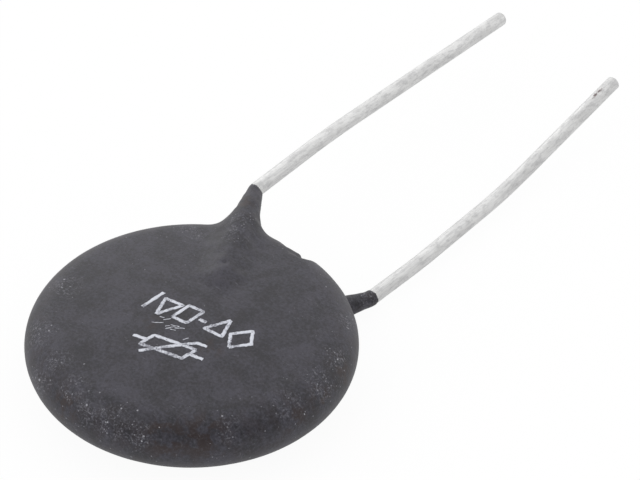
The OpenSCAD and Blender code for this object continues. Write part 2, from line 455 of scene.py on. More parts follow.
@dataclass(frozen=True)
class TinnedWireFinish(Finish):
    """Satin hot-tinned copper wire with faint draw lines, scuffs and a few dark nicks.

    Attributes:
        bright: Colour of clean tin.
        dull: Colour of handled, slightly oxidised tin.
        roughness: Mean roughness.
        middle: Middle of the disc in Blender's frame, in millimetres.
        scar: Place of the plier mark near the rear lead's cut end, about the disc's middle.
    """

    bright: Colour = (0.84, 0.84, 0.835)
    dull: Colour = (0.76, 0.76, 0.755)
    roughness: float = 0.48
    middle: Point = (0.0, 0.0, 0.0)
    scar: Point = (4.95, 38.7, -0.02)
    name = "drawn_tin"

    def surface(self, graph: Graph) -> Socket:
        """Builds the wire's shader and returns its output."""
        place = self.millimetres(graph)
        cloud = graph.noise(graph.vector("MULTIPLY", place, (1.6, 0.5, 1.6)), 1.0, 4.0, 0.6, 0.3)
        lines = graph.noise(graph.vector("MULTIPLY", place, (7.0, 0.45, 7.0)), 1.0, 3.0, 0.6)
        scuff = graph.noise(graph.vector("MULTIPLY", place, (3.2, 1.1, 3.2)), 1.3, 4.0, 0.7)
        scuffed = graph.ramp(scuff, 0.48, 0.62)
        nicks = SurfaceSpots(0.8, 0.16, 0.14).mask(graph, place)
        colour = graph.tint(graph.ramp(cloud, 0.36, 0.66), self.bright, self.dull)
        for mask, share, shade in (
            (scuffed, 0.35, (0.60, 0.60, 0.61)),
            (graph.ramp(lines, 0.47, 0.60), 0.4, (0.60, 0.60, 0.605)),
            (nicks, 0.5, (0.12, 0.11, 0.11)),
        ):
            colour = graph.tint(graph.times(mask, share), colour, shade)
        beside = graph.vector("SUBTRACT", graph.vector("SUBTRACT", place, self.middle), self.scar)
        away = graph.vector("LENGTH", graph.vector("MULTIPLY", beside, (1.0, 0.18, 1.0)))
        scarred = graph.times(graph.ramp(away, 0.08, 0.26, 1.0, 0.0), graph.ramp(scuff, 0.42, 0.52))
        colour = graph.tint(scarred, colour, (0.16, 0.11, 0.11))
        rough = graph.blend(cloud, self.roughness - 0.06, self.roughness + 0.10)
        rough = graph.plus(rough, graph.times(scuffed, 0.12), clamp=True)
        height = graph.plus(graph.times(lines, 0.5), graph.times(scuff, 0.4))
        height = graph.minus(height, graph.times(nicks, 0.8))
        return graph.surface(colour, rough, height, 0.4, 0.03, metal=1.0)


@dataclass(frozen=True)
class InkFinish(Finish):
    """Thin white pad-printing ink with a bluish cast, worn through in places.

    Attributes:
        ink: Colour of whole ink.
        thin: Colour where the dark coating shows through.
    """

    ink: Colour = (0.74, 0.76, 0.84)
    thin: Colour = (0.22, 0.22, 0.26)
    name = "pad_print"

    def surface(self, graph: Graph) -> Socket:
        """Builds the ink's shader and returns its output."""
        place = self.millimetres(graph)
        broad = graph.noise(place, 1.1, 2.0)
        fine = graph.noise(place, 9.0, 3.0, 0.7)
        worn = graph.plus(graph.times(broad, 0.5), graph.times(fine, 0.5))
        colour = graph.tint(graph.ramp(worn, 0.50, 0.64), self.ink, self.thin)
        return graph.surface(colour, 0.6, fine, 0.3, 0.01)


@dataclass(frozen=True)
class HiddenPartFinish(Finish):
    """Finish of an inner part that the coating hides.

    Attributes:
        name: The material's name.
        base: Mean colour.
        other: Colour of the patches.
        metal: Whether it is a metal.
        roughness: Mean roughness.
        per_mm: Patches per millimetre.
    """

    name: str = "ceramic_disc"
    base: Colour = (0.05, 0.047, 0.045)
    other: Colour = (0.085, 0.08, 0.075)
    metal: bool = False
    roughness: float = 0.8
    per_mm: float = 3.0

    def surface(self, graph: Graph) -> Socket:
        """Builds the shader and returns its output."""
        place = self.millimetres(graph)
        patches = graph.noise(place, self.per_mm, 4.0, 0.6)
        grain = graph.noise(place, self.per_mm * 6.0, 2.0, 0.6)
        colour = graph.tint(graph.ramp(patches, 0.35, 0.65), self.base, self.other)
        rough = graph.blend(grain, self.roughness - 0.1, self.roughness + 0.1)
        return graph.surface(colour, rough, grain, 0.3, 0.02, metal=float(self.metal))


@dataclass(frozen=True)
class PaleFloorFinish(Finish):
    """White floor that shows plain white to the camera and in reflections, and keeps a soft shadow.

    Attributes:
        shade: Share of the floor's own lit colour, shadow and all, that the camera sees.
        gloss_shade: The same share in reflections.
        glow: Strength of the plain white.
    """

    shade: float = 0.10
    gloss_shade: float = 0.55
    glow: float = 1.045
    name = "pale_floor"

    def surface(self, graph: Graph) -> Socket:
        """Builds the floor's shader and returns its output."""
        rays = graph.add("ShaderNodeLightPath").outputs
        direct = graph.most(rays["Is Camera Ray"], rays["Is Transmission Ray"])
        reflected = graph.times(rays["Is Glossy Ray"], 1.0 - self.gloss_shade)
        plain = graph.most(graph.times(direct, 1.0 - self.shade), reflected)
        place = self.millimetres(graph)
        tone = graph.ramp(graph.noise(place, 0.02, 2.0), 0.3, 0.7, 0.64, 0.66)
        grey = graph.first("ShaderNodeCombineColor", {0: tone, 1: tone, 2: tone})
        lit = graph.first("ShaderNodeBsdfDiffuse", {"Color": grey})
        white = {"Color": (1.0, 1.0, 1.0), "Strength": self.glow}
        glow = graph.first("ShaderNodeEmission", white)
        return graph.first("ShaderNodeMixShader", {0: plain, 1: lit, 2: glow})


@dataclass(frozen=True)
class DiscShape:
    """Outer form of the coated disc, from the same sizes as the CAD source.

    Attributes:
        coat_r: Radius of the coated disc.
        rim_r: Radius of the round rim.
        crown_z: Height of the crown's middle above the mid-plane.
        wire_r: Radius of the wire.
        wire_z: Height of a wire's axis above the mid-plane.
        pitch: Distance between the leads.
        splay: Angle of the splayed stretch, in degrees.
        knee: Centre-line radius of the knee.
        root: Distance of a wire's inner end from the disc's centre line.
        horn: Reach of the horns past the rim.
        lead: Reach of the leads past the rim.
    """

    coat_r: float = 10.75
    rim_r: float = 2.2
    crown_z: float = 2.8
    wire_r: float = 0.5
    wire_z: float = 2.2
    pitch: float = 10.0
    splay: float = 26.0
    knee: float = 1.2
    root: float = 4.1
    horn: float = 2.2
    lead: float = 30.5

    @property
    def rim_centre(self) -> float:
        """Distance of the rim circle's centre from the disc's axis."""
        return self.coat_r - self.rim_r

    @property
    def crown_r(self) -> float:
        """Radius of the crown."""
        chord = self.rim_centre**2 + self.crown_z**2 - self.rim_r**2
        return chord / (2 * (self.crown_z - self.rim_r))

    @property
    def crown_edge(self) -> float:
        """Distance from the axis at which the crown runs into the rim."""
        return self.rim_centre * self.crown_r / (self.crown_r - self.rim_r)

    @property
    def horn_tip_y(self) -> float:
        """Distance of the horns' tips from the disc's middle, along the leads."""
        return self.coat_r + self.horn

    @property
    def lead_tip_y(self) -> float:
        """Distance of the leads' cut ends from the disc's middle, along the leads."""
        return self.coat_r + self.lead

    @property
    def knee_length(self) -> float:
        """Length of the knee along the wire."""
        return self.knee * math.radians(self.splay)

    @property
    def splayed_length(self) -> float:
        """Length of the splayed stretch of wire."""
        a = math.radians(self.splay)
        return (self.horn_tip_y - self.knee * math.sin(a) - self.root) / math.cos(a)

    def middle(self) -> Vector:
        """Returns the disc's middle in Blender's frame, in millimetres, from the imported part's box."""
        low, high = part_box("ceramic_disc")
        return (Vector(low) + Vector(high)) / 2 / MM

    def behind_tip(self, back: float) -> Point:
        """Returns the front wire's axis at a distance back from its horn's tip."""
        a = math.radians(self.splay)
        if back < self.knee_length:
            t = back / self.knee
            x = -self.pitch / 2 + self.knee * (1 - math.cos(t))
            return (x, self.horn_tip_y - self.knee * math.sin(t), self.wire_z)
        past = back - self.knee_length
        x = -self.pitch / 2 + self.knee * (1 - math.cos(a)) + past * math.sin(a)
        y = self.horn_tip_y - self.knee * math.sin(a) - past * math.cos(a)
        return (x, y, self.wire_z)


def swayed(
    points: list[Point], side: Side, sway: float = 0.26, start: float = 11.5, over: float = 7.5
) -> list[Point]:
    """Leans the rear wire a little towards the middle until it is well past its horn.

    Args:
        points: Points of a wire's axis, as if on the front face.
        side: The side of the disc that the wire is on.
        sway: How far the rear wire stands in from its own line under the resin.
        start: Distance along the leads at which it starts to come back.
        over: Length that it takes to come back.

    Returns:
        The points of the wire as it stands.
    """
    if side is Side.FRONT:
        return points
    return [(x + sway * (1 - smooth_step((y - start) / over)), y, z) for x, y, z in points]


def smooth_step(t: float) -> float:
    """Returns 0 below 0, 1 above 1 and an eased value between."""
    c = min(1.0, max(0.0, t))
    return c * c * (3 - 2 * c)


def turned(points: list[Point], side: Side) -> list[Point]:
    """Returns points of the front face turned to a side of the disc."""
    turn = Matrix.Rotation(math.radians(side.value), 3, "Y")
    return [tuple(turn @ Vector(p)) for p in points]


def polyline(name: str, runs: list[list[Point]], values: dict[str, list[float]]) -> bpy.types.Object:
    """Makes a mesh of open lines, which a Geometry Nodes tree reads.

    Args:
        name: The object's name.
        runs: The points of each line, in millimetres.
        values: Point values by attribute name, in the points' order.

    Returns:
        The object, linked to the scene.
    """
    points = [tuple(Vector(p) * MM) for run in runs for p in run]
    edges: list[tuple[int, int]] = []
    start = 0
    for run in runs:
        edges += [(start + i, start + i + 1) for i in range(len(run) - 1)]
        start += len(run)
    mesh = bpy.data.meshes.new(name)
    mesh.from_pydata(points, edges, [])
    for key, numbers in values.items():
        mesh.attributes.new(key, "FLOAT", "POINT").data.foreach_set("value", numbers)
    made = bpy.data.objects.new(name, mesh)
    bpy.context.scene.collection.objects.link(made)
    return made


class GeometryRecipe:
    """A Geometry Nodes tree with named sizes, and the run that turns it into a plain mesh."""

    KINDS = {int: "NodeSocketInt", float: "NodeSocketFloat", tuple: "NodeSocketVector"}

    def __init__(
        self, name: str, sizes: dict[str, float | int | Point], material: bpy.types.Material
    ) -> None:
        """Starts the tree.

        Args:
            name: The tree's name.
            sizes: Named inputs with their values.
            material: The finish that the tree sets at its end.
        """
        self.tree = bpy.data.node_groups.new(name, "GeometryNodeTree")
        self.graph = Graph(self.tree)
        self.sizes = sizes
        self.material = material
        self.tree.interface.new_socket("Geometry", in_out="INPUT", socket_type="NodeSocketGeometry")
        for key, value in sizes.items():
            kind = self.KINDS[type(value)]
            self.tree.interface.new_socket(key, in_out="INPUT", socket_type=kind)
        self.tree.interface.new_socket("Geometry", in_out="OUTPUT", socket_type="NodeSocketGeometry")
        self.inputs = self.graph.add("NodeGroupInput").outputs

    def placed(self, geometry: Socket) -> Socket:
        """Returns geometry moved from about the disc's middle to its place in Blender's frame."""
        move = {"Geometry": geometry, "Translation": self.inputs["Middle"]}
        return self.graph.first("GeometryNodeTransform", move)

    def attribute(self, name: str) -> Socket:
        """Returns a named number that the source's points carry."""
        kind = "GeometryNodeInputNamedAttribute"
        return self.graph.first(kind, {"Name": name}, data_type="FLOAT")

    def finish(self, geometry: Socket) -> None:
        """Ends the tree: realizes instances, shades smooth, sets the material and the output."""
        real = self.graph.first("GeometryNodeRealizeInstances", {0: geometry})
        smooth = self.graph.first("GeometryNodeSetShadeSmooth", {0: real})
        look = {0: smooth, "Material": self.material}
        dressed = self.graph.first("GeometryNodeSetMaterial", look)
        self.graph.add("NodeGroupOutput", {0: dressed})

    def run(self, source: bpy.types.Object, name: str) -> bpy.types.Object:
        """Runs the tree on a source object and keeps the result as a plain mesh.

        Args:
            source: The object whose mesh feeds the tree. It is removed.
            name: The new piece's name.

        Returns:
            The piece, at the origin.
        """
        modifier = source.modifiers.new("recipe", "NODES")
        modifier.node_group = self.tree
        sockets = [item for item in self.tree.interface.items_tree if item.in_out == "INPUT"]
        named = {socket.name: socket.identifier for socket in sockets}
        for key, value in self.sizes.items():
            modifier[named[key]] = value
        graph = bpy.context.evaluated_depsgraph_get()
        mesh = bpy.data.meshes.new_from_object(source.evaluated_get(graph))
        source.modifiers.remove(modifier)
        bpy.data.objects.remove(source)
        mesh.name = name
        mesh.materials.clear()
        mesh.materials.append(self.material)
        piece = bpy.data.objects.new(name, mesh)
        bpy.context.scene.collection.objects.link(piece)
        return piece


@dataclass(frozen=True)
class Blemish:
    """A small hollow left in the skin by a bubble, or a groove left by a lost flake.

    Attributes:
        place: Its middle, about the disc's middle.
        radius: Radius of the ball or rod that cuts it.
        ragged: Height of the noise on its wall.
        run: Half of the rod's length, as a vector along it.
    """

    place: Point
    radius: float
    ragged: float = 0.05
    run: Point = (0.0, 0.0, 0.0)

    @staticmethod
    def rim_chip(
        shape: DiscShape, turn: float, lift: float, radius: float, depth: float, ragged: float
    ) -> "Blemish":
        """Places a groove across the rim.

        Args:
            shape: Sizes shared with the CAD source.
            turn: Angle round the rim from the leads' direction, in degrees.
            lift: Angle above the mid-plane, in degrees.
            radius: Radius of the groove.
            depth: Its depth.
            ragged: Height of the noise on its wall.

        Returns:
            The groove.
        """
        a, b = math.radians(turn), math.radians(lift)
        out = Vector((math.sin(a), math.cos(a), 0.0))
        square = out * math.cos(b) + Vector((0.0, 0.0, math.sin(b)))
        across = Vector((0.0, 0.0, math.cos(b))) - out * math.sin(b)
        middle = out * shape.rim_centre + square * (shape.rim_r + radius - depth)
        half = math.sqrt(2 * shape.rim_r * depth)
        return Blemish(tuple(middle), radius, ragged, tuple(across * half))


@dataclass
class DippedSkin:
    """The one skin of resin that covers the disc and climbs both leads.

    Attributes:
        shape: Sizes shared with the CAD source.
        finish: The resin.
        voxel: Pitch of the grid that the skin is drawn from.
        smoothing: Rounds of smoothing that take the grid's steps away.
        tip_cover: Resin left on a wire at its horn's tip.
        ridge_cover: Resin over the wires on the faces.
        taper: Length over which a horn thins.
        horn_blend: Fillet between a horn and the rim.
        ridge_blend: Fillet between a ridge and the face.
        fade: Length over which a ridge dies away.
        inner_cover: Resin over the wires where the ridges start to die away.
        end_radius: Radius of the resin about a wire's line where its ridge has died away.
        lost_blend: Share of the fillet that is lost there.
        face_swell: Height of the broad unevenness on the faces.
        face_lumps: Height of the finer unevenness on the faces.
        ridge_lumps: Height of either over the wires.
        front_short: How far the front horn ends short of its tip.
        rear_short: The same for the rear horn.
        tip_wave: Height of the waves of the line where a horn ends.
        samples: Points along each wire's line.
        margin: Room in the grid round the rim.
        tip_margin: Room in the grid past the horns' tips.
        half_height: Half height of the grid.
        blemishes: Hollows in the skin.
    """

    shape: DiscShape
    finish: ResinFinish
    voxel: float = 0.125
    smoothing: int = 3
    tip_cover: float = 0.05
    ridge_cover: float = 0.36
    taper: float = 3.4
    horn_blend: float = 1.8
    ridge_blend: float = 1.5
    fade: float = 3.0
    inner_cover: float = 0.12
    end_radius: float = 0.03
    lost_blend: float = 0.85
    face_swell: float = 0.02
    face_lumps: float = 0.006
    ridge_lumps: float = 0.16
    front_short: float = 0.26
    rear_short: float = -0.12
    tip_wave: float = 0.35
    samples: int = 240
    margin: float = 0.6
    tip_margin: float = 0.5
    half_height: float = 3.9
    blemishes: list[Blemish] = field(
        default_factory=lambda: [
            Blemish.rim_chip(DiscShape(), 7.9, 41.0, 0.9, 0.37, 0.05),
            Blemish.rim_chip(DiscShape(), 5.1, 41.0, 0.32, 0.45, 0.04),
            Blemish.rim_chip(DiscShape(), 0.0, 41.0, 2.5, 0.18, 0.02),
            Blemish((-2.95, 8.05, 3.38), 0.30),
            Blemish((-2.35, 7.75, 3.36), 0.26),
            Blemish((-1.55, 6.75, 3.34), 0.24),
            Blemish((-4.10, 9.45, 3.25), 0.24),
            Blemish((-1.10, 4.70, 3.20), 0.22),
        ]
    )

    def wire_paths(self) -> bpy.types.Object:
        """Makes the two wires' axes under the skin, with the resin's radius and fillet all along."""
        shape = self.shape
        length = shape.knee_length + shape.splayed_length + self.fade
        backs = [length * i / (self.samples - 1) for i in range(self.samples)]
        line = [shape.behind_tip(s) for s in backs]
        radii = [self.skin_radius(s) * MM for s in backs]
        blends = [self.skin_blend(s) * MM for s in backs]
        runs = [turned(swayed(line, side), side) for side in Side]
        return polyline("wire_paths", runs, {"skin_radius": radii * 2, "skin_blend": blends * 2})

    def faded(self, back: float) -> float:
        """Returns how far a ridge has died away at a distance back from the horn's tip."""
        shape = self.shape
        return smooth_step((back - shape.knee_length - shape.splayed_length) / self.fade)

    def skin_radius(self, back: float) -> float:
        """Returns the resin's radius about a wire at a distance back from the horn's tip."""
        cover = self.tip_cover + (self.ridge_cover - self.tip_cover) * smooth_step(back / self.taper)
        settled = smooth_step((back - self.taper) / (self.shape.splayed_length - self.taper))
        cover += (self.inner_cover - self.ridge_cover) * settled
        fade = self.faded(back)
        return (self.shape.wire_r + cover) * (1 - fade) + self.end_radius * fade

    def skin_blend(self, back: float) -> float:
        """Returns the fillet's size at a distance back from the horn's tip."""
        fade = self.faded(back)
        settled = smooth_step((back - self.taper) / self.taper)
        blend = self.horn_blend + (self.ridge_blend - self.horn_blend) * settled
        return blend * (1 - self.lost_blend * fade)

    def recipe(self) -> GeometryRecipe:
        """Builds the tree that draws the skin as one smooth level set round the disc and the wires."""
        shape = self.shape
        reach = shape.coat_r + self.margin
        low = (-reach, -reach, -self.half_height)
        high = (reach, shape.horn_tip_y + self.tip_margin, self.half_height)
        sizes: dict[str, float | int | Point] = {
            "Rim Radius": shape.rim_r * MM,
            "Rim Centre": shape.rim_centre * MM,
            "Crown Radius": shape.crown_r * MM,
            "Crown Height": shape.crown_z * MM,
            "Crown Edge": shape.crown_edge * MM,
            "Horn Tip": shape.horn_tip_y * MM,
            "Low Corner": tuple(v * MM for v in low),
            "High Corner": tuple(v * MM for v in high),
            "Middle": tuple(shape.middle() * MM),
        }
        for axis, start, end in zip("XYZ", low, high, strict=True):
            sizes[f"Cells {axis}"] = round((end - start) / self.voxel)
        recipe = GeometryRecipe("dipped skin", sizes, self.finish.material())
        graph, inputs = recipe.graph, recipe.inputs
        place = graph.first("GeometryNodeInputPosition")
        lens = self.lens_distance(graph, inputs, place)
        tube, blend = self.tube_distance(recipe, place)
        level = graph.smooth_min(tube, lens, blend)
        level = self.roughened(graph, place, tube, level)
        level = graph.most(level, self.ragged_tip(graph, inputs, place))
        for blemish in self.blemishes:
            level = graph.most(level, self.hollow(graph, place, blemish))
        density = graph.minus(1.0, graph.math("DIVIDE", level, MM))
        room = {"Density": density, "Min": inputs["Low Corner"], "Max": inputs["High Corner"]}
        room |= {f"Resolution {axis}": inputs[f"Cells {axis}"] for axis in "XYZ"}
        cube = graph.first("GeometryNodeVolumeCube", room)
        mesh = graph.first("GeometryNodeVolumeToMesh", {"Volume": cube, "Threshold": 1.0})
        still = graph.first("GeometryNodeInputPosition")
        even = graph.add("GeometryNodeBlurAttribute", data_type="FLOAT_VECTOR")
        graph.feed(next(s for s in even.inputs if s.enabled and s.name == "Value"), still)
        graph.feed(even.inputs["Iterations"], self.smoothing)
        settled = next(s for s in even.outputs if s.enabled)
        calm = graph.first("GeometryNodeSetPosition", {"Geometry": mesh, "Position": settled})
        recipe.finish(recipe.placed(calm))
        return recipe

    @staticmethod
    def lens_distance(graph: Graph, inputs: Any, place: Value) -> Socket:
        """Returns the distance outside the bare lens: two crowns that run into a round rim."""
        x, y, z = graph.split(place)
        rho = graph.vector("LENGTH", graph.join(x, y, 0.0))
        rim = graph.vector("LENGTH", graph.join(graph.minus(rho, inputs["Rim Centre"]), 0.0, z))
        rim = graph.minus(rim, inputs["Rim Radius"])
        down = graph.minus(inputs["Crown Radius"], inputs["Crown Height"])
        height = graph.plus(graph.math("ABSOLUTE", z), down)
        crown = graph.vector("LENGTH", graph.join(rho, 0.0, height))
        crown = graph.minus(crown, inputs["Crown Radius"])
        return graph.blend(graph.math("GREATER_THAN", rho, inputs["Crown Edge"]), crown, rim)

    @staticmethod
    def tube_distance(recipe: GeometryRecipe, place: Value) -> tuple[Socket, Socket]:
        """Returns the distance outside the resin round the wires, and the fillet's size there."""
        graph, wires = recipe.graph, {"Geometry": recipe.inputs["Geometry"]}
        where = wires | {"Sample Position": place}
        near = graph.add("GeometryNodeProximity", where, target_element="EDGES")
        where = wires | {"Sample Position": near.outputs["Position"]}
        index = graph.first("GeometryNodeSampleNearest", where)
        picked = []
        for key in ("skin_radius", "skin_blend"):
            sought = wires | {"Value": recipe.attribute(key), "Index": index}
            picked.append(graph.first("GeometryNodeSampleIndex", sought, data_type="FLOAT"))
        return graph.minus(near.outputs["Distance"], picked[0]), picked[1]

    def roughened(self, graph: Graph, place: Value, tube: Value, level: Value) -> Socket:
        """Adds the skin's own unevenness, slight on the faces and lumpy over the wires."""
        near = graph.ramp(tube, 0.1 * MM, 1.6 * MM, 1.0, 0.0)
        parts = []
        for scale, on_face in ((0.6, self.face_swell), (1.6, self.face_lumps)):
            size = graph.blend(near, on_face * MM, self.ridge_lumps * MM)
            parts.append(graph.times(graph.waver(place, scale, 1.0), size))
        return graph.plus(level, graph.plus(*parts))

    def ragged_tip(self, graph: Graph, inputs: Any, place: Value) -> Socket:
        """Returns the distance past the uneven line where the resin ends on a wire."""
        _, along, side = graph.split(place)
        wave = graph.waver(place, 2.2)
        front = graph.math("GREATER_THAN", side, 0.0)
        short = graph.blend(front, self.rear_short * MM, self.front_short * MM)
        end = graph.minus(inputs["Horn Tip"], short)
        return graph.minus(along, graph.plus(end, graph.times(wave, self.tip_wave * MM)))

    @staticmethod
    def hollow(graph: Graph, place: Value, blemish: Blemish) -> Socket:
        """Returns the distance inside a blemish's ragged ball or rod."""
        offset = graph.vector("SUBTRACT", place, tuple(v * MM for v in blemish.place))
        half = Vector(blemish.run).length * MM
        if half > 0.0:
            along = tuple(Vector(blemish.run).normalized())
            share = graph.vector("DOT_PRODUCT", offset, along)
            share = graph.first("ShaderNodeClamp", {0: share, 1: -half, 2: half})
            offset = graph.vector("SUBTRACT", offset, graph.scaled(along, share))
        away = graph.vector("LENGTH", offset)
        rough = graph.waver(place, 4.0)
        radius = graph.plus(blemish.radius * MM, graph.times(rough, blemish.ragged * 2 * MM))
        return graph.minus(radius, away)

    def build(self) -> bpy.types.Object:
        """Builds the skin in place of its CAD node and returns it."""
        skin = self.recipe().run(self.wire_paths(), "dipped_skin")
        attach(skin, BODY)
        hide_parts("resin_coating")
        return skin


@dataclass
class TinnedLead:
    """One round wire lead, from its soldered inner end to its cut end.

    Attributes:
        side: The face that it is soldered to.
        shape: Sizes shared with the CAD source.
        finish: The tinned surface.
        run: Straight stretch past the horn's tip.
        bend_radius: Radius of the slow bend.
        bend: Angle of the slow bend, in degrees.
        around: Points round the wire.
        unevenness: How far the wire's surface wanders in and out.
        cut_bevel: Rounding of the cut end.
    """

    side: Side
    shape: DiscShape
    finish: TinnedWireFinish
    run: float
    bend_radius: float
    bend: float
    around: int = 40
    unevenness: float = 0.02
    cut_bevel: float = 0.12

    @property
    def name(self) -> str:
        """Name of the lead's CAD node."""
        return f"{self.side.name.lower()}_lead"

    def axis(self) -> list[Point]:
        """Returns the wire's axis from its inner end to its cut end."""
        shape = self.shape
        inner = shape.knee_length + shape.splayed_length
        points = [shape.behind_tip(inner * (1 - i / 40)) for i in range(41)]
        points += [shape.behind_tip(shape.knee_length * (1 - i / 12)) for i in range(1, 13)]
        x, y, z = -shape.pitch / 2, shape.horn_tip_y, shape.wire_z
        points += [(x, y + self.run * i / 12, z) for i in range(1, 13)]
        angle = math.radians(self.bend)
        for i in range(1, 17):
            a = angle * i / 16
            drop = self.bend_radius * (1 - math.cos(a))
            points.append((x, y + self.run + self.bend_radius * math.sin(a), z - drop))
        _, start_y, start_z = points[-1]
        left = shape.lead_tip_y - start_y
        steps = 40
        reaches = [left * i / steps for i in range(1, steps)] + [left - self.cut_bevel, left]
        points += [(x, start_y + r, start_z - r * math.tan(angle)) for r in sorted(set(reaches))]
        return points

    def build(self) -> bpy.types.Object:
        """Builds the wire in place of its CAD node and returns it."""
        shape = self.shape
        line = turned(swayed(self.axis(), self.side), self.side)
        radii = [1.0] * len(line)
        radii[-1] = 1.0 - self.cut_bevel / shape.wire_r
        path = polyline(self.name + "_path", [line], {"thickness": radii})
        sizes: dict[str, float | int | Point] = {
            "Wire Radius": shape.wire_r * MM,
            "Around": self.around,
            "Unevenness": self.unevenness * MM,
            "Middle": tuple(shape.middle() * MM),
        }
        recipe = GeometryRecipe(f"drawn wire {self.side.name.lower()}", sizes, self.finish.material())
        graph, inputs = recipe.graph, recipe.inputs
        curve = graph.first("GeometryNodeMeshToCurve", {"Mesh": inputs["Geometry"]})
        size = {"Resolution": inputs["Around"], "Radius": inputs["Wire Radius"]}
        ring = graph.first("GeometryNodeCurvePrimitiveCircle", size)
        sweep = {"Profile Curve": ring, "Scale": recipe.attribute("thickness"), "Fill Caps": True}
        wire = graph.first("GeometryNodeCurveToMesh", {"Curve": curve} | sweep)
        place = graph.first("GeometryNodeInputPosition")
        wave = graph.waver(place, 0.7)
        normal = graph.first("GeometryNodeInputNormal")
        push = graph.scaled(normal, graph.times(wave, inputs["Unevenness"]))
        uneven = graph.first("GeometryNodeSetPosition", {"Geometry": wire, "Offset": push})
        recipe.finish(recipe.placed(uneven))
        lead = recipe.run(path, f"tinned_{self.name}")
        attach(lead, BODY)
        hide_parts(self.name)
        return lead


